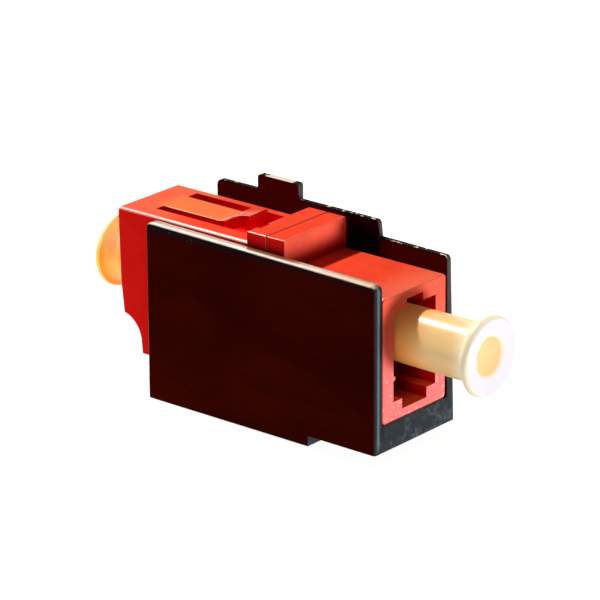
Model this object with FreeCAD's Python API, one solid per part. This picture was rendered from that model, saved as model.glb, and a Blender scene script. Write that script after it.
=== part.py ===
"""LC simplex fibre adapter in a snap-in carrier, with a dust plug in each port.

Frame, in millimetres: the origin is the optical reference point, where two ferrules meet
in the middle of the split sleeve. +X is the optical axis towards the front port, +Y is
towards the carrier's thin drafted wall, +Z is up, away from the latch side of the ports.
"""
import FreeCAD, Part
import math
import os

V = FreeCAD.Vector
X_AXIS, Y_AXIS, Z_AXIS = V(1, 0, 0), V(0, 1, 0), V(0, 0, 1)
REACH = 60.0                    # longer than the part in any direction, for cutters
LAP = 0.5                       # how far a feature runs into the solid that carries it
CIRCLE_PULL = 0.5523            # pole distance that makes a Bezier bend follow a quarter circle

# ---- driving dimensions -------------------------------------------------------------
# Split sleeve that lines up the two ferrules
ferrule_diameter = 1.25
sleeve_wall = 0.185
sleeve_length = 6.8
sleeve_slot_width = 0.25
sleeve_end_chamfer = 0.08

# Barrel in each housing half, round the sleeve
sleeve_radial_clearance = 0.04
sleeve_end_clearance = 0.03
barrel_wall = 0.6
barrel_lip_length = 0.7
barrel_mouth_clearance = 0.075  # radial, between a ferrule and the funnel's narrow end
barrel_mouth_flare = 0.2        # growth of the hole's radius out to the barrel's end

# LC port: a square for the plug body over a keyway for its latch
port_width = 4.65
port_square_height = 4.65
port_floor_thickness = 1.7      # wall between a port and the joint between the halves
latch_zone_height = 1.87
latch_slot_width = 2.7
latch_slot_depth = 0.76
latch_window_width = 4.2
latch_window_start = 3.0        # from the front port's face to the catch
latch_window_length = 2.6
top_notch_width = 1.8
top_notch_depth = 0.6
rail_height = 0.36
rail_width = 0.5
rail_slope = 0.15               # across each sloping flank of a rail
rail_length = 6.0
rail_setback = 0.12             # behind the port face

# Red housing halves
front_depth = 10.38             # joint to front port face
front_width = 7.0
front_top_wall = 1.22           # over the port's square
rear_depth = 13.8               # joint to the top of the rear port face
rear_width = 6.8
rear_top_wall = 2.7
housing_floor_wall = 0.65       # under the latch slot
housing_long_edge_radius = 0.32
rear_far_edge_radius = 0.5      # rear half's top edge on the drafted wall's side
housing_end_edge_radius = 0.14
rear_lean_upper = 0.14          # how far the rear face leans forward, down to the axis
rear_lean_lower = 0.25          # and from there down to the scoop
rear_lean_break = -0.5          # height of the change of lean
rear_lean_foot = 0.07           # from the scoop down to the bottom
scoop_radius = 2.06             # finger scoop under the rear port
scoop_foot_height = 0.76        # straight edge under the scoop
scoop_top_clearance = 0.36      # the scoop's centre sits this far behind its top corner

# Flange ribs that meet at the joint
front_rib_length = 1.62
rear_rib_length = 1.74
rib_width = 6.76
rib_rise = 0.79                 # above the rear half's top
rib_drop = 0.8                  # below the housing, into the carrier's groove
rib_joint_chamfer = 0.09
rib_edge_radius = 0.12
gate_scar_width = 1.05
gate_scar_depth = 0.3
gate_scar_offset = -1.8         # centre of the scar across the rib

# Alignment pegs on the front half
peg_diameter = 0.9
peg_length = 0.8
peg_clearance = 0.04
peg_edge_distance = 0.9         # peg centre to the rear half's side
peg_low_height = -4.75
peg_high_height = 2.55

# Snap tongue moulded in the rear half's top
tongue_root_distance = 2.42     # rear port face to the root of the tongue
tongue_length = 5.18
tongue_thickness = 0.8
tongue_root_width = 2.62
tongue_tip_width = 2.52
tongue_offset = 0.1             # towards +Y, off the middle of the rear half
tongue_head_length = 1.54
tongue_head_rise = 0.28         # crest of the wedge, at its front edge
tongue_head_undercut = 0.15     # lean of the catch face under the crest
tongue_head_far_gap = 0.09      # head to the side of the opening, on the +Y side
tongue_notch_depth = 1.04       # how far the -Y part of the head is cut back
tongue_notch_width = 1.45       # from the -Y side of the tongue
tongue_notch_radius = 0.5
tongue_opening_width = 4.38
tongue_opening_offset = 0.2     # towards +Y, off the middle of the rear half
tongue_flex_gap = 0.93          # free space under the tongue

# Black carrier
carrier_front_lead = 0.05       # carrier front end past the front port's face
carrier_length = 20.68
carrier_height = 15.50          # underside to the top of the finger tab
carrier_shoulder_distance = 5.93
carrier_near_wall = 0.76
carrier_near_gap = 0.15         # between the front half and the plain wall
carrier_far_gap = 0.10          # between the front half and the drafted wall, at the floor
carrier_far_wall_foot = 0.80    # wall thickness at the bottom
carrier_far_wall_top = 0.36     # wall thickness at the top of the tab
carrier_far_inner_draft = 0.12
carrier_tab_thickness = 0.58
carrier_rear_floor = 2.70
carrier_front_floor = 1.94
carrier_near_rise_front = 10.28
carrier_near_rise_rear = 10.53
carrier_far_rise_front = 10.38
carrier_far_rise_shoulder = 10.45
carrier_far_rise_middle = 11.68
carrier_tab_front_distance = 13.26
carrier_tab_length = 3.73
carrier_stop_draft = 0.12
carrier_far_overhang = 0.14     # the drafted wall runs this far past the plain wall, behind
carrier_corner_radius = 0.45
carrier_edge_radius = 0.2
carrier_step_radius = 0.3
carrier_tab_corner_radius = 0.22
carrier_tab_foot_radius = 0.12
carrier_groove_clearance = 0.05

# Dust plugs
plug_stem_diameter = 4.12       # at the front port's face
plug_nose_diameter = 3.8        # at the inner end
plug_stem_taper = 0.04          # growth of the radius from the port face to the flare
plug_length = 14.72
plug_seat_gap = 0.6             # from the front port's floor to the plug's inner end
plug_barrel_clearance = 0.1
plug_socket_depth = 8.2
plug_flange_diameter = 5.76
plug_rim_thickness = 0.5
plug_flare_radius = 0.8
plug_rim_back_land = 0.02       # least flat left behind the rim
plug_rim_radius = 0.3
plug_dish_depth = 0.2           # the end face sinks this far from the rim to the recess
plug_recess_diameter = 2.8
plug_recess_depth = 4.5
plug_recess_edge = 0.12
plug_nose_chamfer = 0.25
rear_plug_tilt = 2.2            # degrees, outer end up, as far as the port lets it sit askew
rear_plug_push = 0.3            # how much deeper the rear plug is pushed in

# ---- places that follow from them ---------------------------------------------------
sleeve_inner_radius = ferrule_diameter / 2
sleeve_outer_radius = sleeve_inner_radius + sleeve_wall
pocket_radius = sleeve_outer_radius + sleeve_radial_clearance
pocket_depth = sleeve_length / 2 + sleeve_end_clearance
barrel_radius = pocket_radius + barrel_wall
barrel_depth = pocket_depth + barrel_lip_length
mouth_radius = sleeve_inner_radius + barrel_mouth_clearance

square_top = port_square_height / 2
square_bottom = -port_square_height / 2
latch_floor = square_bottom - latch_zone_height
slot_floor = latch_floor - latch_slot_depth
housing_bottom = slot_floor - housing_floor_wall
front_top = square_top + front_top_wall
rear_top = square_top + rear_top_wall
rib_top = rear_top + rib_rise
rib_bottom = housing_bottom - rib_drop

scoop_foot_top = housing_bottom + scoop_foot_height
scoop_top_x = -rear_depth + rear_lean_upper + rear_lean_lower
scoop_centre_x = scoop_top_x - scoop_top_clearance
scoop_top_z = scoop_foot_top + math.sqrt(scoop_radius ** 2 - scoop_top_clearance ** 2)
scoop_foot_x = scoop_centre_x + scoop_radius

tongue_root_x = -rear_depth + tongue_root_distance
tongue_end_x = tongue_root_x + tongue_length
tongue_tip_x = tongue_end_x + tongue_head_length
tongue_underside = rear_top - tongue_thickness
tongue_chamber_floor = tongue_underside - tongue_flex_gap

carrier_front_x = front_depth + carrier_front_lead
carrier_rear_x = carrier_front_x - carrier_length
carrier_shoulder_x = carrier_front_x - carrier_shoulder_distance
carrier_near_inner_y = -front_width / 2 - carrier_near_gap
carrier_near_outer_y = carrier_near_inner_y - carrier_near_wall
carrier_far_inner_y = front_width / 2 + carrier_far_gap
carrier_floor_z = housing_bottom
carrier_rear_bottom = carrier_floor_z - carrier_rear_floor
carrier_tab_top = carrier_rear_bottom + carrier_height
carrier_front_bottom = carrier_floor_z - carrier_front_floor
carrier_tab_front_x = carrier_front_x - carrier_tab_front_distance
carrier_tab_rear_x = carrier_tab_front_x - carrier_tab_length

plug_inner_x = port_floor_thickness + plug_seat_gap
plug_outer_x = plug_inner_x + plug_length
plug_socket_radius = barrel_radius + plug_barrel_clearance
rear_plug_inner_x = plug_inner_x - rear_plug_push
rear_plug_pivot_x = (rear_plug_inner_x + barrel_depth) / 2


# ---- shape helpers ------------------------------------------------------------------
def block(x0, x1, y0, y1, z0, z1):
    """A box between two corners."""
    corner = V(min(x0, x1), min(y0, y1), min(z0, z1))
    return Part.makeBox(abs(x1 - x0), abs(y1 - y0), abs(z1 - z0), corner)


def rod(radius, x0, x1, y=0.0, z=0.0):
    """A round bar along the optical axis, or parallel to it."""
    return Part.makeCylinder(radius, abs(x1 - x0), V(min(x0, x1), y, z), X_AXIS)


def cone(radius0, radius1, x0, x1):
    """A cone on the optical axis: radius0 at x0 and radius1 at x1."""
    if x1 < x0:
        x0, x1, radius0, radius1 = x1, x0, radius1, radius0
    return Part.makeCone(radius0, radius1, x1 - x0, V(x0, 0, 0), X_AXIS)


def plate(points, direction):
    """A closed outline of straight edges, swept along a vector."""
    return Part.Face(Part.makePolygon(points + points[:1])).extrude(direction)


def side_plate(outline, y0, y1):
    """An outline given as (x, z) pairs, from y0 to y1."""
    return plate([V(x, y0, z) for x, z in outline], V(0, y1 - y0, 0))


def section_bar(outline, x0, x1):
    """A section given as (y, z) pairs, from x0 to x1."""
    return plate([V(x0, y, z) for y, z in outline], V(x1 - x0, 0, 0))


def cap_plate(outline, z0, z1):
    """A plan given as (x, y) pairs, from z0 to z1."""
    return plate([V(x, y, z0) for x, y in outline], V(0, 0, z1 - z0))


def mirrored(shape):
    """The same shape for the rear port, facing -X."""
    return shape.mirror(V(0, 0, 0), X_AXIS)


def fused(shapes):
    return shapes[0].fuse(shapes[1:]).removeSplitter()


def rounded(shape, radius, keep):
    """Fillets every edge that the test keep(edge) picks out."""
    return shape.makeFillet(radius, [edge for edge in shape.Edges if keep(edge)])


def is_near(value, target, slack=1e-4):
    return abs(value - target) < slack


def runs_along(edge, axis):
    """True for a straight edge along an axis."""
    ends = [vertex.Point for vertex in edge.Vertexes]
    if len(ends) < 2:
        return False
    run = ends[1].sub(ends[0])
    return is_near(abs(run.dot(axis)), edge.Length) and is_near(run.Length, edge.Length)


# ---- split sleeve -------------------------------------------------------------------
def make_sleeve():
    half = sleeve_length / 2
    tube = rod(sleeve_outer_radius, -half, half).cut(rod(sleeve_inner_radius, -half, half))
    tube = tube.makeChamfer(sleeve_end_chamfer, [
        edge for edge in tube.Edges
        if isinstance(edge.Curve, Part.Circle) and is_near(edge.Curve.Radius, sleeve_outer_radius)
    ])
    slot = block(-REACH, REACH, -sleeve_slot_width / 2, sleeve_slot_width / 2, 0, REACH)
    return tube.cut(slot)


# ---- features shared by the two housing halves, for the half on the +X side ---------
def port_section():
    """Outline of a port across the axis: notch, square, latch zone and latch slot."""
    side, notch, slot = port_width / 2, top_notch_width / 2, latch_slot_width / 2
    notch_top = square_top + top_notch_depth
    right = [
        (slot, slot_floor), (slot, latch_floor), (side, latch_floor),
        (side, square_top), (notch, square_top), (notch, notch_top),
    ]
    left = [(-y, z) for y, z in reversed(right)]
    return right + left


def port_space(depth, face_x):
    """What the port takes out of a half whose outer end is at depth."""
    opening = section_bar(port_section(), port_floor_thickness, depth + REACH)
    window_start = face_x - latch_window_start
    window = block(window_start, window_start - latch_window_length,
                   -latch_window_width / 2, latch_window_width / 2, slot_floor, latch_floor)
    return opening.fuse(window)


def port_rails(face_x):
    """Two rails that keep the plug body up out of the latch zone."""
    side = port_width / 2
    outline = [
        (side, square_bottom), (side - rail_height, square_bottom - rail_slope),
        (side - rail_height, square_bottom - rail_width + rail_slope),
        (side, square_bottom - rail_width),
    ]
    rail = section_bar(outline, face_x - rail_length, face_x - rail_setback)
    return [rail, rail.mirror(V(0, 0, 0), Y_AXIS)]


def barrel():
    return rod(barrel_radius, 0, barrel_depth)


def barrel_hole():
    """Pocket for the sleeve, then the funnel that keeps the sleeve in and leads a ferrule."""
    funnel = cone(mouth_radius, mouth_radius + barrel_mouth_flare, pocket_depth, barrel_depth)
    return rod(pocket_radius, -REACH, pocket_depth).fuse(funnel)


def flange_rib(length):
    """Rib round the top and bottom of a half, with eased edges and a joint chamfer."""
    rib = block(0, length, -rib_width / 2, rib_width / 2, rib_bottom, rib_top)
    rib = rounded(rib, rib_edge_radius, lambda edge: (
        runs_along(edge, X_AXIS) or (runs_along(edge, Y_AXIS) and
                                     is_near(edge.CenterOfMass.x, length))))
    return rib.makeChamfer(rib_joint_chamfer, [
        edge for edge in rib.Edges if is_near(edge.BoundBox.XMax, 0)
    ])


def peg_places():
    offset = rear_width / 2 - peg_edge_distance
    return [(-offset, peg_low_height), (offset, peg_high_height)]


# ---- front half ---------------------------------------------------------------------
def make_front_housing():
    half = front_width / 2
    body = block(0, front_depth, -half, half, housing_bottom, front_top)
    body = rounded(body, housing_long_edge_radius, lambda edge: runs_along(edge, X_AXIS))
    body = rounded(body, housing_end_edge_radius,
                   lambda edge: is_near(edge.BoundBox.XMin, front_depth))
    space = port_space(front_depth, front_depth)
    body = fused([body, flange_rib(front_rib_length)]).cut(space)
    body = fused([body, barrel()] + port_rails(front_depth))
    pegs = []
    for y, z in peg_places():
        pegs.append(rod(peg_diameter / 2, -peg_length, LAP, y, z))
    return fused([body] + pegs).cut(barrel_hole())


# ---- rear half ----------------------------------------------------------------------
def rear_body():
    """Side outline with the leaning end face and the finger scoop, swept across."""
    top_rear = V(-rear_depth, 0, rear_top)
    lean_break = V(-rear_depth + rear_lean_upper, 0, rear_lean_break)
    scoop_top = V(scoop_top_x, 0, scoop_top_z)
    scoop_foot = V(scoop_foot_x, 0, scoop_foot_top)
    middle_angle = 0.5 * math.atan2(scoop_top_z - scoop_foot_top, scoop_top_clearance)
    scoop_middle = V(scoop_centre_x + scoop_radius * math.cos(middle_angle), 0,
                     scoop_foot_top + scoop_radius * math.sin(middle_angle))
    bottom_rear = V(scoop_foot_x + rear_lean_foot, 0, housing_bottom)
    bottom_front = V(0, 0, housing_bottom)
    top_front = V(0, 0, rear_top)
    edges = [
        Part.LineSegment(top_rear, lean_break), Part.LineSegment(lean_break, scoop_top),
        Part.Arc(scoop_top, scoop_middle, scoop_foot),
        Part.LineSegment(scoop_foot, bottom_rear), Part.LineSegment(bottom_rear, bottom_front),
        Part.LineSegment(bottom_front, top_front), Part.LineSegment(top_front, top_rear),
    ]
    wire = Part.Wire([edge.toShape() for edge in edges])
    wire.translate(V(0, -rear_width / 2, 0))
    body = Part.Face(wire).extrude(V(0, rear_width, 0))
    for side, radius in ((-1, housing_long_edge_radius), (1, rear_far_edge_radius)):
        body = rounded(body, radius, lambda edge: (
            runs_along(edge, X_AXIS) and is_near(edge.CenterOfMass.z, rear_top) and
            is_near(edge.CenterOfMass.y, side * rear_width / 2)))
    return rounded(body, housing_end_edge_radius, lambda edge: (
        edge.BoundBox.XMax < scoop_top_x + 1e-3 and edge.BoundBox.ZMax > scoop_top_z + 1e-3))


def tongue():
    """The cantilever: a tapering tongue with a wedge at its free end, notched on one side."""
    root_x = tongue_root_x - LAP
    crest_z = rear_top + tongue_head_rise
    profile = side_plate([
        (root_x, tongue_underside), (tongue_tip_x - tongue_head_undercut, tongue_underside),
        (tongue_tip_x, crest_z), (tongue_end_x, rear_top), (root_x, rear_top),
    ], -REACH, REACH)
    root, tip = tongue_root_width / 2, tongue_tip_width / 2
    far_y = (tongue_opening_width / 2 - tongue_head_far_gap
             + tongue_opening_offset - tongue_offset)
    notch_x, notch_y = tongue_tip_x - tongue_notch_depth, -tip + tongue_notch_width
    plan = cap_plate([
        (root_x, root), (tongue_root_x, root), (tongue_end_x, tip), (tongue_end_x, far_y),
        (tongue_tip_x, far_y), (tongue_tip_x, notch_y), (notch_x, notch_y), (notch_x, -tip),
        (tongue_end_x, -tip), (tongue_root_x, -root), (root_x, -root),
    ], tongue_chamber_floor, rib_top)
    plan = rounded(plan, tongue_notch_radius, lambda edge: (
        runs_along(edge, Z_AXIS) and is_near(edge.CenterOfMass.x, notch_x) and
        is_near(edge.CenterOfMass.y, notch_y)))
    shape = profile.common(plan)
    shape.translate(V(0, tongue_offset, 0))
    return shape


def tongue_space():
    """The opening round the tongue, and the chamber that lets it bend."""
    side = tongue_opening_width / 2
    opening = block(tongue_root_x, -rear_rib_length, -side, side,
                    tongue_chamber_floor, rear_top + rib_rise)
    chamber = block(tongue_root_x, 0, -side, side, tongue_chamber_floor, tongue_underside)
    space = opening.fuse(chamber)
    space.translate(V(0, tongue_opening_offset, 0))
    return space


def gate_scar():
    """Small chip out of the rear rib's top edge, left where the moulding gate was cut."""
    left = gate_scar_offset - gate_scar_width / 2
    edge_x = -rear_rib_length
    return side_plate([
        (edge_x - gate_scar_depth, rib_top + gate_scar_depth),
        (edge_x - gate_scar_depth, rib_top - gate_scar_depth),
        (edge_x, rib_top - gate_scar_depth), (edge_x + gate_scar_depth, rib_top),
        (edge_x + gate_scar_depth, rib_top + gate_scar_depth),
    ], left, left + gate_scar_width)


def make_rear_housing():
    space = mirrored(port_space(rear_depth, -scoop_foot_x))
    body = fused([rear_body(), mirrored(flange_rib(rear_rib_length))])
    body = body.cut(space).cut(tongue_space()).cut(gate_scar())
    rails = [mirrored(rail) for rail in port_rails(-scoop_foot_x)]
    body = fused([body, tongue(), mirrored(barrel())] + rails)
    holes = [mirrored(barrel_hole())]
    for y, z in peg_places():
        depth = peg_length + peg_clearance
        holes.append(rod(peg_diameter / 2 + peg_clearance, -depth, REACH, y, z))
    return body.cut(holes)


# ---- carrier ------------------------------------------------------------------------
def near_wall():
    """Plain side plate with eased corners; its top falls slightly towards the front."""
    outline = [
        (carrier_rear_x, carrier_rear_bottom), (carrier_front_x, carrier_rear_bottom),
        (carrier_front_x, carrier_floor_z + carrier_near_rise_front),
        (carrier_rear_x, carrier_floor_z + carrier_near_rise_rear),
    ]
    wall = side_plate(outline, carrier_near_outer_y, carrier_near_inner_y)
    wall = rounded(wall, carrier_corner_radius, lambda edge: (
        runs_along(edge, Y_AXIS) and edge.CenterOfMass.z > 0))
    return rounded(wall, carrier_edge_radius, lambda edge: (
        is_near(edge.BoundBox.YMin, carrier_near_outer_y) and
        is_near(edge.BoundBox.YMax, carrier_near_outer_y) and
        edge.BoundBox.ZMax > carrier_rear_bottom + carrier_corner_radius))


def far_wall():
    """Drafted wall whose stepped top carries the finger tab and the upper panel stop."""
    foot, top = carrier_rear_bottom, carrier_tab_top
    rear_x = carrier_rear_x - carrier_far_overhang
    tab_rear, tab_front = carrier_tab_rear_x, carrier_tab_front_x
    inner_top = carrier_far_inner_y - carrier_far_inner_draft
    section = section_bar([
        (carrier_far_inner_y, foot), (carrier_far_inner_y + carrier_far_wall_foot, foot),
        (inner_top + carrier_far_wall_top, top), (inner_top, top),
        (carrier_far_inner_y, carrier_floor_z),
    ], rear_x, carrier_front_x)
    tab = block(tab_rear, tab_front, inner_top + carrier_far_wall_top / 2,
                inner_top + carrier_tab_thickness, 0, top)
    front = carrier_floor_z + carrier_far_rise_front
    shoulder = carrier_floor_z + carrier_far_rise_shoulder
    middle = carrier_floor_z + carrier_far_rise_middle
    profile = side_plate([
        (rear_x, foot), (carrier_front_x, foot), (carrier_front_x, front),
        (carrier_shoulder_x, shoulder), (carrier_shoulder_x - carrier_stop_draft, middle),
        (tab_front, middle), (tab_front, top), (tab_rear, top), (tab_rear, middle),
        (rear_x, middle),
    ], 0, REACH)
    corners = [
        (carrier_front_x, front, carrier_step_radius),
        (carrier_shoulder_x - carrier_stop_draft, middle, carrier_step_radius),
        (tab_front, middle, carrier_tab_foot_radius), (tab_front, top, carrier_tab_corner_radius),
        (tab_rear, top, carrier_tab_corner_radius), (tab_rear, middle, carrier_tab_foot_radius),
        (rear_x, middle, carrier_corner_radius),
    ]
    for x, z, radius in corners:
        profile = rounded(profile, radius, lambda edge: (
            runs_along(edge, Y_AXIS) and is_near(edge.CenterOfMass.x, x) and
            is_near(edge.CenterOfMass.z, z)))
    return section.fuse(tab).common(profile).removeSplitter()


def make_carrier():
    floor = block(carrier_rear_x, carrier_front_x, carrier_near_inner_y, carrier_far_inner_y,
                  carrier_rear_bottom, carrier_floor_z)
    body = fused([near_wall(), floor, far_wall()])
    relief = block(carrier_shoulder_x, REACH, -REACH, REACH, carrier_front_bottom, -REACH)
    gap = carrier_groove_clearance
    groove = block(-rear_rib_length - gap, front_rib_length + gap, -rib_width / 2 - gap,
                   rib_width / 2 + gap, rib_bottom - gap, carrier_floor_z + LAP)
    return body.cut(relief).cut(groove)


# ---- dust plug ----------------------------------------------------------------------
def make_dust_plug():
    """Turned profile about the axis: stem, flare, rim, dished end, blind recess and socket."""
    stem = plug_stem_diameter / 2
    nose = plug_nose_diameter / 2
    flare_foot = stem + plug_stem_taper
    rim = plug_flange_diameter / 2
    rim_back_x = plug_outer_x - plug_rim_thickness
    recess = plug_recess_diameter / 2
    recess_end_x = plug_outer_x - plug_recess_depth
    socket_end_x = plug_inner_x + plug_socket_depth
    flare_start_x = rim_back_x - plug_flare_radius
    mouth_x = plug_outer_x - plug_dish_depth

    def at(x, radius):
        return V(x, 0, radius)

    def line(start, end):
        return Part.LineSegment(start, end).toShape()

    def bend(start, corner, end):
        curve = Part.BezierCurve()
        curve.setPoles([start, start + (corner - start) * CIRCLE_PULL,
                        end + (corner - end) * CIRCLE_PULL, end])
        return curve.toShape()

    flare_height = min(plug_flare_radius, rim - flare_foot - plug_rim_back_land)
    flare_end = at(rim_back_x, flare_foot + flare_height)
    back_edge = at(rim_back_x + (rim - flare_foot - flare_height), rim)
    edges = [
        line(at(plug_inner_x, plug_socket_radius), at(plug_inner_x, nose - plug_nose_chamfer)),
        line(at(plug_inner_x, nose - plug_nose_chamfer), at(plug_inner_x + plug_nose_chamfer, nose)),
        line(at(plug_inner_x + plug_nose_chamfer, nose), at(front_depth, stem)),
        line(at(front_depth, stem), at(flare_start_x, flare_foot)),
        bend(at(flare_start_x, flare_foot), at(rim_back_x, flare_foot), flare_end),
        line(flare_end, back_edge),
        line(back_edge, at(plug_outer_x - plug_rim_radius, rim)),
        bend(at(plug_outer_x - plug_rim_radius, rim), at(plug_outer_x, rim),
             at(plug_outer_x, rim - plug_rim_radius)),
        line(at(plug_outer_x, rim - plug_rim_radius), at(mouth_x, recess + plug_recess_edge)),
        line(at(mouth_x, recess + plug_recess_edge), at(mouth_x - plug_recess_edge, recess)),
        line(at(mouth_x - plug_recess_edge, recess), at(recess_end_x, recess)),
        line(at(recess_end_x, recess), at(recess_end_x, 0)),
        line(at(recess_end_x, 0), at(socket_end_x, 0)),
        line(at(socket_end_x, 0), at(socket_end_x, plug_socket_radius)),
        line(at(socket_end_x, plug_socket_radius), at(plug_inner_x, plug_socket_radius)),
    ]
    return Part.Face(Part.Wire(edges)).revolve(V(0, 0, 0), X_AXIS, 360)


def make_rear_plug():
    """The same plug in the rear port, tilted about the middle of its seat on the barrel."""
    plug = mirrored(make_dust_plug())
    plug.translate(X_AXIS * rear_plug_push)
    plug.rotate(V(-rear_plug_pivot_x, 0, 0), Y_AXIS, rear_plug_tilt)
    return plug


# ---- the part -----------------------------------------------------------------------
def main():
    nodes = {
        "split_sleeve": make_sleeve(),
        "front_housing": make_front_housing(),
        "rear_housing": make_rear_housing(),
        "snap_in_carrier": make_carrier(),
        "front_dust_plug": make_dust_plug(),
        "rear_dust_plug": make_rear_plug(),
    }
    os.makedirs("parts", exist_ok=True)
    for name, shape in nodes.items():
        solids = shape.Solids
        if len(solids) != 1 or not shape.isValid():
            raise ValueError(f"{name}: {len(solids)} solids, valid {shape.isValid()}")
        solids[0].exportStep(f"parts/{name}.step")
        box = shape.BoundBox
        print(f"{name:18s} volume {shape.Volume:8.2f}  x {box.XMin:7.2f} {box.XMax:7.2f}  "
              f"y {box.YMin:6.2f} {box.YMax:6.2f}  z {box.ZMin:6.2f} {box.ZMax:6.2f}")


main()
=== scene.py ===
"""Looks for the LC fibre adapter: materials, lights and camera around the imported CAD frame."""
import math

import bpy
from mathutils import Matrix, Vector


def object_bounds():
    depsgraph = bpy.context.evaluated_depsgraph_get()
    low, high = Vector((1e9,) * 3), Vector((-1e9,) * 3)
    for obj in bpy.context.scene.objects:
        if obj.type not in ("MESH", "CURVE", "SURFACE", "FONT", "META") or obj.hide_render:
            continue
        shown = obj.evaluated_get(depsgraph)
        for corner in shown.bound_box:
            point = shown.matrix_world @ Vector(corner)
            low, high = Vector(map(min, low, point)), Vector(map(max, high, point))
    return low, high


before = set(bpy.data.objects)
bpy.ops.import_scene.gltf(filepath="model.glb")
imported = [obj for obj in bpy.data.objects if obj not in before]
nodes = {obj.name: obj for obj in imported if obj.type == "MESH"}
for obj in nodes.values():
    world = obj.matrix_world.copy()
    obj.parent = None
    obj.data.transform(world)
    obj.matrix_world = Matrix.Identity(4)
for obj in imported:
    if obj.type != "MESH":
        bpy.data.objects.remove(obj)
cad_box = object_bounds()
scene = bpy.context.scene
MM = 0.001


def srgb(r, g, b):
    """8-bit display colour to the linear value that renders as it."""
    def one(c):
        c /= 255
        return c / 12.92 if c <= 0.04045 else ((c + 0.055) / 1.055) ** 2.4
    return one(r), one(g), one(b)


# ---- colours, linear ----------------------------------------------------------------
# The red changes by facing as painted light: the top colours are lit, sheened copies of the side red,
# painted lighter and warmer.
RED_SIDE = (0.76, 0.0105, 0.0080)
RED_REAR_TOP = (0.96, 0.140, 0.075)
RED_RIB_TOP = (0.96, 0.075, 0.035)
RED_TONGUE = (0.96, 0.205, 0.075)
# painted highlight along the snap tongue's near edge
RED_TONGUE_EDGE_HIGHLIGHT = (1.0, 0.62, 0.36)
RED_FRONT_TOP = (0.96, 0.072, 0.030)
RED_FRONT_TOP_SHEEN = (0.97, 0.150, 0.085)
# painted pink sheen on the faces towards the front, stronger low down
RED_FACE = (0.95, 0.120, 0.066)
RED_FACE_LOW = (0.95, 0.200, 0.185)
RED_FLECK = (1.0, 0.40, 0.42)
RED_FOOT_SHADE = (0.55, 0.020, 0.014)         # painted shade low on the flange's front
RED_RIM_HIGHLIGHT = (1.0, 0.66, 0.58)             # painted highlight on the rear half's rounded top edge
RED_SEAM = (0.30, 0.008, 0.006)
RED_PORT_SHADE = (0.20, 0.0015, 0.0010)       # painted shade inside the ports
RED_WELL_GLOW = (0.98, 0.010, 0.018)         # painted glow round and under the snap tongue, for light through the plastic

BLACK_SIDE = (0.030, 0.0016, 0.0003)
BLACK_STREAK = (0.048, 0.0028, 0.0006)
BLACK_INNER_REFLECTION = (0.075, 0.0045, 0.0030)   # painted red reflection on the far wall's inner face
BLACK_SHADE = (0.004, 0.0006, 0.0020)   # painted dark reflection on it ahead of the flange
# painted cool reflection under the near top edge and on the near wall's upper front end
BLACK_COOL_REFLECTION = (0.006, 0.008, 0.011)
BLACK_DUST = (0.10, 0.13, 0.19)
# the near wall's top: painted warm sheen inside, painted highlight outside, warmer towards the front
BLACK_TOP_INNER_SHEEN = (0.22, 0.080, 0.036)
BLACK_TOP_HIGHLIGHT = (0.80, 0.66, 0.56)
BLACK_TOP_FRONT_HIGHLIGHT = (0.72, 0.45, 0.21)
BLACK_FAR_TOP = (0.035, 0.028, 0.026)
# chips with painted glints along the far top, and a painted highlight on the finger tab's top
BLACK_CHIP_AND_HIGHLIGHT = (0.85, 0.76, 0.62)
BLACK_FACE = (0.011, 0.016, 0.020)      # rough front ends
BLACK_FACE_PALE = (0.062, 0.082, 0.100)
# painted light: the far wall's front end drawn warmer towards the top
BLACK_FAR_END_LIT = (0.060, 0.045, 0.045)
BLACK_HIGHLIGHT_LINE = (0.10, 0.15, 0.18)       # painted highlight line down the near wall's front end

CREAM_STEM = (1.0, 0.67, 0.285)
# painted shade: deeper colour on the stem near the port
CREAM_DEEP_SHADE = (0.96, 0.46, 0.12)
# painted light: the flare and end face drawn paler, as lit copies of the cream
CREAM_FLARE_LIT = (1.0, 0.90, 0.62)
CREAM_FACE_LIT = (0.90, 0.855, 0.905)
# painted glow in the plug's recess, for light through the plastic
CREAM_RECESS_GLOWING = (0.98, 0.68, 0.45)
# painted backlight glow on the rear plug's side towards the body
CREAM_BACKLIT = (1.0, 0.56, 0.095)
CREAM_BACKLIT_TOP = (1.0, 0.88, 0.55)
CREAM_BACKLIT_LOW = (1.0, 0.33, 0.045)

CERAMIC_DARK = srgb(236, 234, 226)
CERAMIC_LIGHT = srgb(245, 244, 240)

# ---- gloss, glow and grain ----------------------------------------------------------
BASE_SPECULAR = 0.3
RED_SPECULAR = 0.5
RED_TOP_SPECULAR = 0.0
RED_FACE_SPECULAR = 0.1
RED_FACE_ROUGHNESS = 0.55
RED_SHADING = (0.95, 1.05)              # mottle, as a factor on the colour
BLACK_SPECULAR = 0.15
BLACK_FACE_SPECULAR = 0.1
BLACK_LIP = 0.25                        # how far the near wall's top edge goes to full gloss
BLACK_EDGE = 0.3 * MM
CREAM_SPECULAR = 0.35
CREAM_ROUGHNESS = 0.3
CREAM_SCATTER = (1.0, 0.7, 0.45)        # red, green and blue reach, as shares of the spread
CREAM_SPREAD = 1.5 * MM
CREAM_BODY_GLOW = 0.09                  # painted glow: stands for light that comes through the plastic
# painted glow in the recess
CREAM_RECESS_GLOW = 0.42
CERAMIC_SPECULAR = 0.5
CERAMIC_ROUGHNESS = 0.15
BUMP_DEPTH = 2e-5

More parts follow.
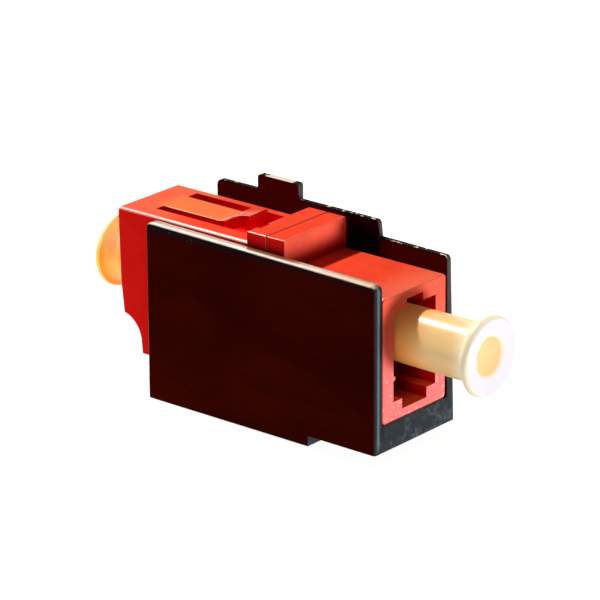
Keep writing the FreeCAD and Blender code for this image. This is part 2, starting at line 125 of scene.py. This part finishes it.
# ---- places in millimetres, (low, high) ---------------------------------------------
JOINT = (-0.2, 0.2)                     # across the plane between the two red halves
SEAM_X = (-0.03, 0.03)
TONGUE_X, TONGUE_Y = (-11.4, -6.4), (-1.25, 1.45)
TONGUE_EDGE_X, TONGUE_EDGE_Y = (-10.6, -6.4), (-1.3, -1.1)
PORT_Y, PORT_Z = (-2.345, 2.345), (-5.02, 2.95)
WELL_X, WELL_Y, WELL_Z = (-17.8, -1.7), (-2.75, 2.75), (3.0, 4.95)
FAR_WALL_FROM = (3.0, 3.3)
NEAR_WALL_TO = (-3.4, -3.3)
SHADE_X = (2.2, 4.0)
HIGHLIGHT_LINE_Y = (-4.07, -3.99)
TAB_HIGHLIGHT_X = (-5.7, -3.5)                   # painted highlight on the finger tab's top
CRISP = 0.01                            # fade at a hard border


# ---- node helpers -------------------------------------------------------------------
class Tree:
    """A small writer for shader node trees."""

    def __init__(self, owner, output="ShaderNodeOutputMaterial"):
        owner.use_nodes = True
        self.nodes = owner.node_tree.nodes
        self.links = owner.node_tree.links
        self.nodes.clear()
        self.output = self.add(output)

    def add(self, kind, **settings):
        node = self.nodes.new(kind)
        for key, value in settings.items():
            setattr(node, key, value)
        return node

    def put(self, socket, value):
        """A link from another socket, or a constant."""
        if isinstance(value, bpy.types.NodeSocket):
            self.links.new(value, socket)
        elif socket.type == "RGBA":
            socket.default_value = (*value, 1.0)
        else:
            socket.default_value = value

    def node(self, kind, output=0, settings=None, **sockets):
        """A node with its sockets set by name, and one of its outputs."""
        made = self.add(kind, **(settings or {}))
        for name, value in sockets.items():
            self.put(made.inputs[name.replace("_", " ")], value)
        return made.outputs[output]

    def show(self, shader_output):
        self.links.new(shader_output, self.output.inputs["Surface"])

    def coords(self):
        return self.node("ShaderNodeTexCoord", "Object")

    def normal(self):
        return self.node("ShaderNodeTexCoord", "Normal")

    def split(self, vector):
        return self.put_first(self.add("ShaderNodeSeparateXYZ"), vector).outputs

    def put_first(self, node, *values):
        for index, value in enumerate(values):
            self.put(node.inputs[index], value)
        return node

    def math(self, operation, *values):
        return self.put_first(self.add("ShaderNodeMath", operation=operation), *values).outputs[0]

    def times(self, *factors):
        product = factors[0]
        for factor in factors[1:]:
            product = self.math("MULTIPLY", product, factor)
        return product

    def ramp(self, value, low, high, out_low=0.0, out_high=1.0):
        return self.node("ShaderNodeMapRange", settings={"interpolation_type": "SMOOTHSTEP"}, Value=value,
                         From_Min=low, From_Max=high, To_Min=out_low, To_Max=out_high)

    def mix(self, factor, a, b):
        node = self.add("ShaderNodeMix", data_type="RGBA")
        self.put(node.inputs[0], factor)
        self.put(node.inputs[6], a)
        self.put(node.inputs[7], b)
        return node.outputs[2]

    def mix_value(self, factor, a, b):
        node = self.add("ShaderNodeMix", data_type="FLOAT")
        self.put(node.inputs[0], factor)
        self.put(node.inputs[2], a)
        self.put(node.inputs[3], b)
        return node.outputs[0]

    def seen(self):
        """1 for what the camera sees straight, in a reflection or through glass."""
        path = self.add("ShaderNodeLightPath").outputs
        bounced = self.math("MAXIMUM", path["Is Glossy Ray"], path["Is Transmission Ray"])
        return self.math("MAXIMUM", path["Is Camera Ray"], bounced)


class Skin(Tree):
    """A material that can tell where on its piece, and on which side, a point lies."""

    def __init__(self, name):
        self.material = bpy.data.materials.new(name)
        super().__init__(self.material)
        self.place = self.coords()
        self.x, self.y, self.z = self.split(self.place)
        self.nx, self.ny, self.nz = self.split(self.normal())

    def facing(self, component):
        """1 where a component of the normal is near one."""
        return self.ramp(component, 0.45, 0.85)

    def rise(self, value, low, high, out_low=0.0, out_high=1.0):
        """From 0 up to 1 along a coordinate, in millimetres."""
        return self.ramp(value, low * MM, high * MM, out_low, out_high)

    def fall(self, value, low, high):
        return self.rise(value, low, high, 1.0, 0.0)

    def between(self, value, span, soft):
        """1 inside a span of a coordinate, fading over soft at both ends, in millimetres."""
        low, high = span
        return self.math("MULTIPLY", self.rise(value, low - soft, low), self.fall(value, high, high + soft))

    def noise(self, scale, detail, roughness=0.55, stretch=None):
        vector = self.place
        if stretch:
            vector = self.node("ShaderNodeMapping", Vector=vector, Scale=stretch)
        return self.node("ShaderNodeTexNoise", "Fac", Vector=vector, Scale=scale, Detail=detail,
                         Roughness=roughness)

    def speckle(self, scale, low, high):
        return self.ramp(self.noise(scale, 2.0), low, high)

    def bump(self, height, strength, **normal):
        return self.node("ShaderNodeBump", Strength=strength, Distance=BUMP_DEPTH, Height=height, **normal)

    def rounded(self, radius):
        """Normals that turn smoothly over each edge, as on a moulded edge."""
        return self.node("ShaderNodeBevel", settings={"samples": 6}, Radius=radius)

    def surface(self, specular, level=None, **sockets):
        """The finished material. A level that varies goes over the constant specular."""
        shader = self.add("ShaderNodeBsdfPrincipled")
        for name, value in sockets.items():
            self.put(shader.inputs[name.replace("_", " ")], value)
        shader.inputs["Specular IOR Level"].default_value = specular
        if level is not None:
            self.links.new(level, shader.inputs["Specular IOR Level"])
        self.show(shader.outputs[0])
        return self.material


# ---- red housing --------------------------------------------------------------------
def red_rear_top(t):
    """The rear half's top, with the snap tongue and a painted highlight along its near edge."""
    top = t.mix(t.rise(t.x, -11.0, -7.0), RED_REAR_TOP, RED_RIB_TOP)
    tongue = t.times(t.between(t.x, TONGUE_X, 1.0), t.between(t.y, TONGUE_Y, 0.1))
    top = t.mix(tongue, top, RED_TONGUE)
    # painted highlight along the tongue's near edge
    edge = t.times(t.between(t.x, TONGUE_EDGE_X, 0.8), t.between(t.y, TONGUE_EDGE_Y, 0.06))
    return t.mix(edge, top, RED_TONGUE_EDGE_HIGHLIGHT)


def red_face(t):
    """The faces towards the front: a painted pink sheen, stronger low down, and flecked low down."""
    face = t.mix(t.rise(t.z, -4.0, 3.5), RED_FACE_LOW, RED_FACE)
    flecks = t.times(t.fall(t.z, -2.6, -1.6), t.speckle(2600, 0.58, 0.66))
    return t.mix(flecks, face, RED_FLECK)


def red_plastic():
    """Glossy on the edges, duller on the flats, with painted shade inside the ports."""
    t = Skin("red_moulded_plastic")
    mottle = t.noise(700, 4)
    grain = t.noise(9000, 3)
    up = t.facing(t.nz)
    ahead = t.facing(t.nx)
    rear_half = t.fall(t.x, *JOINT)
    # painted sheen growing towards the front edge of the front top
    front_top = t.mix(t.rise(t.x, 6.5, 10.4), RED_FRONT_TOP, RED_FRONT_TOP_SHEEN)
    colour = t.mix(up, RED_SIDE, t.mix(rear_half, front_top, red_rear_top(t)))
    colour = t.mix(ahead, colour, red_face(t))
    # painted shade low on the flange's front face
    foot = t.times(ahead, t.fall(t.x, 8.0, 8.5), t.fall(t.z, 3.6, 5.2))
    colour = t.mix(foot, colour, RED_FOOT_SHADE)
    # painted highlight on the rear half's rounded near top edge
    leaning = t.times(t.ramp(t.nz, 0.5, 0.65), t.ramp(t.nz, 0.9, 0.97, 1.0, 0.0))
    rim = t.times(leaning, t.ramp(t.ny, -0.3, -0.2, 1.0, 0.0), rear_half,
                  t.rise(t.x, -10.5, -8.0, 0.35, 1.0))
    colour = t.mix(rim, colour, RED_RIM_HIGHLIGHT)
    colour = t.mix(t.between(t.x, SEAM_X, 0.02), colour, RED_SEAM)
    # painted shade inside the ports
    port = t.times(t.between(t.y, PORT_Y, CRISP), t.between(t.z, PORT_Z, CRISP),
                   t.fall(t.math("ABSOLUTE", t.x), 7.5, 10.3))
    colour = t.mix(port, colour, RED_PORT_SHADE)
    # painted glow in the shaded well and slots round the tongue
    well = t.times(t.between(t.x, WELL_X, CRISP), t.between(t.y, WELL_Y, CRISP),
                   t.between(t.z, WELL_Z, 0.03))
    colour = t.mix(well, colour, RED_WELL_GLOW)
    shaded = t.add("ShaderNodeVectorMath", operation="SCALE")
    t.put(shaded.inputs[0], colour)
    t.put(shaded.inputs["Scale"], t.ramp(mottle, 0.3, 0.7, *RED_SHADING))
    flat_top = t.times(up, t.ramp(t.nz, 0.985, 0.999))
    level = t.ramp(t.ny, -0.97, -0.75, 0.0, RED_SPECULAR)
    level = t.mix_value(flat_top, level, RED_TOP_SPECULAR)
    level = t.mix_value(ahead, level, RED_FACE_SPECULAR)
    roughness = t.mix_value(ahead, t.ramp(mottle, 0.2, 0.8, 0.26, 0.36), RED_FACE_ROUGHNESS)
    return t.surface(BASE_SPECULAR, level, Base_Color=shaded.outputs[0], Roughness=roughness,
                     Normal=t.bump(grain, 0.05))


# ---- black carrier ------------------------------------------------------------------
def black_sides(t, near, far):
    """Walls: streaked outside; inside, a painted maroon reflection with a painted dark patch; a painted
    blue-black reflection under the near top edge.
    """
    streak = t.noise(260, 4, 0.6, (0.35, 1.0, 1.0))
    outside = t.mix(t.ramp(streak, 0.35, 0.7), BLACK_SIDE, BLACK_STREAK)
    # painted red reflection on the far wall's inner face, with a painted dark patch ahead of the flange
    inner = t.times(far, t.ramp(t.ny, -0.7, -0.4, 1.0, 0.0))
    colour = t.mix(inner, outside, BLACK_INNER_REFLECTION)
    shade = t.times(inner, t.between(t.x, SHADE_X, 1.6), t.rise(t.z, 4.6, 7.0, 1.0, 0.35))
    colour = t.mix(shade, colour, BLACK_SHADE)
    # painted cool reflection under the near wall's top edge
    cool_reflection = t.times(t.rise(t.z, 4.0, 4.9), near)
    colour = t.mix(cool_reflection, colour, BLACK_COOL_REFLECTION)
    dust = t.times(cool_reflection, t.fall(t.x, -7.0, -4.0), t.speckle(3600, 0.66, 0.7))
    return t.mix(dust, colour, BLACK_DUST)


def black_tops(t, far):
    """Top edges: the near one with a painted highlight on its outer part and a painted warm sheen inside,
    the far one black.
    """
    # painted highlight on the near top's outer part, painted sheen on its inner part
    outer = t.fall(t.y, -4.2, -3.95)
    top_highlight = t.mix(t.rise(t.x, 0.0, 9.0), BLACK_TOP_HIGHLIGHT, BLACK_TOP_FRONT_HIGHLIGHT)
    return t.mix(far, t.mix(outer, BLACK_TOP_INNER_SHEEN, top_highlight), BLACK_FAR_TOP)


def black_front_ends(t, far):
    """Rough, clouded blue-grey, with a painted highlight line down the near wall's end, painted cool
    reflection beside it, and painted warmer light up the far wall's end.
    """
    end = t.mix(t.ramp(t.noise(1300, 5, 0.7), 0.48, 0.74), BLACK_FACE, BLACK_FACE_PALE)
    # painted highlight line down the near wall's front end
    highlight_line = t.times(t.between(t.y, HIGHLIGHT_LINE_Y, 0.2), t.rise(t.z, -7.6, -6.6))
    beside = t.times(t.fall(t.y, *NEAR_WALL_TO), t.math("SUBTRACT", 1.0, highlight_line))
    end = t.mix(highlight_line, end, BLACK_HIGHLIGHT_LINE)
    end = t.mix(t.times(beside, t.rise(t.z, -6.9, -6.2)), end, BLACK_COOL_REFLECTION)
    # painted light, warmer up the far wall's front end
    return t.mix(t.times(far, t.rise(t.z, -2.0, 3.0)), end, BLACK_FAR_END_LIT)


def black_plastic():
    """Near-black with a maroon cast, blue-grey on its rough front ends, chipped along the far top with
    painted glints on the chips, and a painted highlight on the finger tab's top.
    """
    t = Skin("black_moulded_plastic")
    grain = t.noise(5000, 4)
    edge_normal = t.rounded(BLACK_EDGE)
    edge_up = t.split(edge_normal)[2]
    up = t.facing(t.nz)
    ahead = t.facing(t.nx)
    far = t.rise(t.y, *FAR_WALL_FROM)
    near = t.math("SUBTRACT", 1.0, far)
    colour = t.mix(up, black_sides(t, near, far), black_tops(t, far))
    colour = t.mix(ahead, colour, black_front_ends(t, far))
    # chips along the far top edges, drawn pale as painted glints
    chip_glints = t.times(far, t.ramp(t.nz, 0.2, 0.5), t.speckle(2100, 0.59, 0.63))
    colour = t.mix(chip_glints, colour, BLACK_CHIP_AND_HIGHLIGHT)
    # painted highlight on the finger tab's top
    tab_highlight = t.times(far, t.ramp(t.nz, 0.3, 0.6), t.between(t.x, TAB_HIGHLIGHT_X, 0.2))
    colour = t.mix(tab_highlight, colour, BLACK_CHIP_AND_HIGHLIGHT)
    lip = t.times(t.ramp(edge_up, 0.45, 0.7), near, BLACK_LIP)
    level = t.mix_value(lip, t.ramp(t.ny, -0.97, -0.75, 0.0, BLACK_SPECULAR), 1.0)
    level = t.mix_value(t.times(up, far), level, 0.0)
    level = t.mix_value(ahead, level, BLACK_FACE_SPECULAR)
    return t.surface(BASE_SPECULAR, level, Base_Color=colour, Roughness=t.ramp(grain, 0.2, 0.8, 0.3, 0.4),
                     Normal=t.bump(grain, 0.1, Normal=edge_normal))


# ---- cream plugs and ceramic sleeve -------------------------------------------------
def cream_plastic(name, spread):
    """Soft plastic with painted shade near the port, painted light on the flare and a paler end face, a
    painted glow in the recess and body, and a painted backlight glow on the rear plug's side towards the
    body.
    """
    t = Skin(name)
    grain = t.noise(1500, 3)
    ends = t.ramp(t.math("ABSOLUTE", t.nx), 0.75, 0.95)
    reach = t.math("ABSOLUTE", t.x)
    radius = t.math("SQRT", t.math("ADD", t.times(t.y, t.y), t.times(t.z, t.z)))
    # painted shade on the stem near the port, fading out along it
    shade_fade = t.rise(t.math("ADD", reach, t.times(grain, 0.4 * MM)), 11.0, 13.4)
    colour = t.mix(shade_fade, CREAM_DEEP_SHADE, CREAM_STEM)
    # painted light on the flare and end face
    colour = t.mix(t.rise(reach, 14.6, 16.2), colour, CREAM_FLARE_LIT)
    colour = t.mix(t.times(ends, t.rise(reach, 16.0, 16.6)), colour, CREAM_FACE_LIT)
    # painted glow in the recess
    recess = t.times(t.fall(radius, 1.42, 1.46), t.rise(reach, 10.0, 10.5))
    colour = t.mix(recess, colour, CREAM_RECESS_GLOWING)
    # painted backlight glow on the rear plug's side towards the body
    behind = t.times(t.fall(t.x, -14.5, -13.0), t.ramp(t.nx, -0.6, -0.2))
    backlit = t.mix(t.rise(t.z, 0.5, 2.9), CREAM_BACKLIT, CREAM_BACKLIT_TOP)
    backlit = t.mix(t.rise(t.z, -2.6, 0.0), CREAM_BACKLIT_LOW, backlit)
    colour = t.mix(behind, colour, backlit)
    # painted glow over the body
    body_glow = t.times(t.math("SUBTRACT", 1.0, ends), CREAM_BODY_GLOW)
    return t.surface(CREAM_SPECULAR, Base_Color=colour, Roughness=CREAM_ROUGHNESS,
                     Normal=t.bump(grain, 0.1), Emission_Color=colour,
                     Emission_Strength=t.mix_value(recess, body_glow, CREAM_RECESS_GLOW),
                     Subsurface_Weight=1.0 if spread else 0.0,
                     Subsurface_Radius=CREAM_SCATTER, Subsurface_Scale=spread)


def white_ceramic():
    t = Skin("white_ceramic")
    colour = t.mix(t.noise(3000, 3), CERAMIC_DARK, CERAMIC_LIGHT)
    return t.surface(CERAMIC_SPECULAR, Base_Color=colour, Roughness=CERAMIC_ROUGHNESS)


def dress(node_name, material):
    mesh = nodes[node_name].data
    mesh.materials.clear()
    mesh.materials.append(material)


red = red_plastic()
dress("front_housing", red)
dress("rear_housing", red)
dress("snap_in_carrier", black_plastic())
dress("front_dust_plug", cream_plastic("cream_soft_plastic", 0.0))
dress("rear_dust_plug", cream_plastic("cream_backlit_plastic", CREAM_SPREAD))
dress("split_sleeve", white_ceramic())

# ---- floor --------------------------------------------------------------------------
FLOOR_HALF = 0.6
FLOOR_COLOUR = (0.35, 0.35, 0.35)
FLOOR_SEEN = 0.96                       # glow that the camera sees
FLOOR_BOUNCE = 1.05                     # glow that lights the part from below
BOUNCE_ENDS = (10.0, 14.0)              # it fades out here, ahead of the front port


def make_floor():
    height = cad_box[0][2]
    mesh = bpy.data.meshes.new("floor")
    corners = [(x * FLOOR_HALF, y * FLOOR_HALF, height) for x, y in ((-1, -1), (1, -1), (1, 1), (-1, 1))]
    mesh.from_pydata(corners, [], [(0, 1, 2, 3)])
    floor = bpy.data.objects.new("floor", mesh)
    scene.collection.objects.link(floor)
    t = Skin("pale_floor")
    bounce = t.rise(t.x, *BOUNCE_ENDS, FLOOR_BOUNCE, 0.0)
    glow = t.node("ShaderNodeEmission", Color=(1.0, 1.0, 1.0),
                  Strength=t.mix_value(t.seen(), bounce, FLOOR_SEEN))
    matt = t.node("ShaderNodeBsdfDiffuse", Color=FLOOR_COLOUR)
    t.show(t.put_first(t.add("ShaderNodeAddShader"), matt, glow).outputs[0])
    mesh.materials.append(t.material)
    floor.visible_shadow = False


make_floor()

# ---- world --------------------------------------------------------------------------
WORLD_COLOUR = (1.0, 0.97, 0.94)
WORLD_LEVEL = 0.08


def make_world():
    """A dim warm world that looks white to the camera and in reflections."""
    world = bpy.data.worlds.new("studio")
    t = Tree(world, "ShaderNodeOutputWorld")
    dim = t.node("ShaderNodeBackground", Color=WORLD_COLOUR, Strength=WORLD_LEVEL)
    white = t.node("ShaderNodeBackground", Color=(1.0, 1.0, 1.0), Strength=1.0)
    t.show(t.put_first(t.add("ShaderNodeMixShader"), t.seen(), dim, white).outputs[0])
    scene.world = world


make_world()

# ---- lights -------------------------------------------------------------------------
# name, place and aim and disc radius in millimetres, level, colour
LAMPS = (
    ("key", (-158, 14, 241), (-6, 0, 5), 13, 1.1, (1.0, 0.97, 0.9)),
    ("front", (315, 42, -38), (16.7, 0, 0), 26, 0.97, (0.98, 0.98, 1.0)),
    ("back", (-90, 110, 55), (-2, -4, 5), 18, 0.12, (1.0, 0.93, 0.82)),
    ("low_fill", (19, -24, -7), (12, -1, -1), 5, 0.1, (1.0, 0.97, 0.94)),
    ("side_fill", (-120, -300, 80), (0, 0, 0), 120, 0.05, (1.0, 1.0, 1.0)),
)


def lamp(name, place, aim, radius, level, colour):
    """A disc lamp that lights a white surface facing it at the aim to a level."""
    place = Vector(place) * MM
    away = place - Vector(aim) * MM
    data = bpy.data.lights.new(name, "AREA")
    data.shape = "DISK"
    data.size = 2 * radius * MM
    data.energy = level * (math.pi * away.length) ** 2
    data.color = colour
    light = bpy.data.objects.new(name, data)
    light.location = place
    light.rotation_euler = away.to_track_quat("Z", "Y").to_euler()
    light.visible_camera = False
    scene.collection.objects.link(light)


for settings in LAMPS:
    lamp(*settings)

# ---- camera -------------------------------------------------------------------------
AZIMUTH = math.radians(39.2459)
ELEVATION = math.radians(19.4268)
ROLL = math.radians(-0.0893)
TARGET = Vector((0.43, 0.0, -0.6)) * MM
DISTANCE, SHIFT_X, SHIFT_Y = 270.24 * MM, -2.1063 * MM, -4.4594 * MM
FRAME_PX = 600
FOCAL_PX = 3863.44
PRINCIPAL_PX = (32.7727, -51.9612)      # optical axis, right of and below the frame's centre
SENSOR_MM = 36.0


def make_camera():
    level = math.cos(ELEVATION)
    back = Vector((math.sin(AZIMUTH) * level, -math.cos(AZIMUTH) * level, math.sin(ELEVATION)))
    right = Vector((math.cos(AZIMUTH), math.sin(AZIMUTH), 0))
    up = back.cross(right)
    row_x = right * math.cos(ROLL) + up * math.sin(ROLL)
    row_y = -right * math.sin(ROLL) + up * math.cos(ROLL)
    place = TARGET - row_x * SHIFT_X - row_y * SHIFT_Y + back * DISTANCE
    data = bpy.data.cameras.new("camera")
    data.sensor_width = SENSOR_MM
    data.sensor_fit = "HORIZONTAL"
    data.lens = FOCAL_PX * SENSOR_MM / FRAME_PX
    data.shift_x = -PRINCIPAL_PX[0] / FRAME_PX
    data.shift_y = PRINCIPAL_PX[1] / FRAME_PX
    data.clip_start = 0.01
    data.clip_end = 10
    camera = bpy.data.objects.new("camera", data)
    rotation = Matrix((row_x, row_y, back)).transposed()
    camera.matrix_world = Matrix.Translation(place) @ rotation.to_4x4()
    scene.collection.objects.link(camera)
    scene.camera = camera


make_camera()

# ---- view ---------------------------------------------------------------------------
scene.view_settings.view_transform = "Standard"
